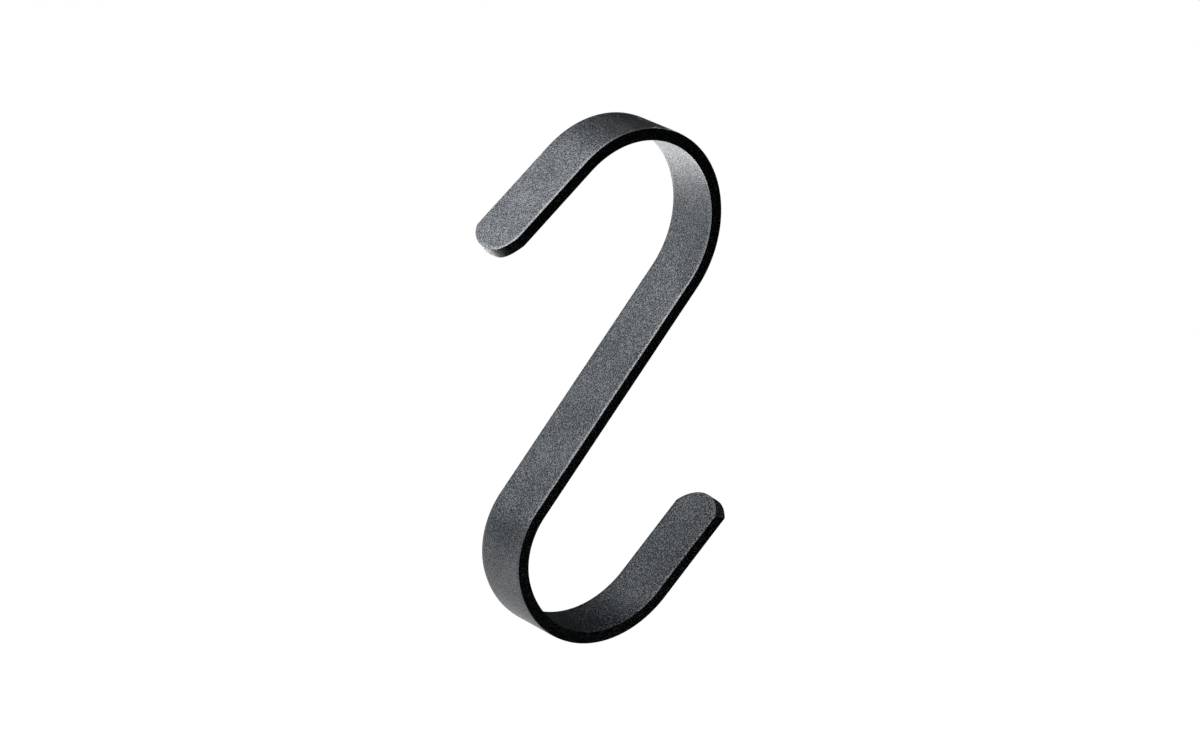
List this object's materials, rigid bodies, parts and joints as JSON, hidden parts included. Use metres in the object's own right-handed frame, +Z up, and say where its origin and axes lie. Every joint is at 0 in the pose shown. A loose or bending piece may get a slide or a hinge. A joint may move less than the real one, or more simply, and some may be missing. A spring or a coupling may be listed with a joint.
{
  "type": "s hook",
  "caption": "S-shaped hook bent from flat steel strip with rounded ends and a black powder coat, for hanging things from a rail or rod.",
  "frame": {"origin": "middle of the upper bend's round, halfway across the strip's width", "axes": "+Z up as the loaded hook hangs, +Y along the rail it hangs from, +X to the side on which the lower hook opens"},
  "size_m": [0.054, 0.0102, 0.0893],
  "materials": {
    "powder_coat": "fine sand-textured black powder coat, semi-matt, on bent mild steel strip"
  },
  "bodies": {
    "root": {"s_hook": "powder_coat"}
  },
  "joints": []
}
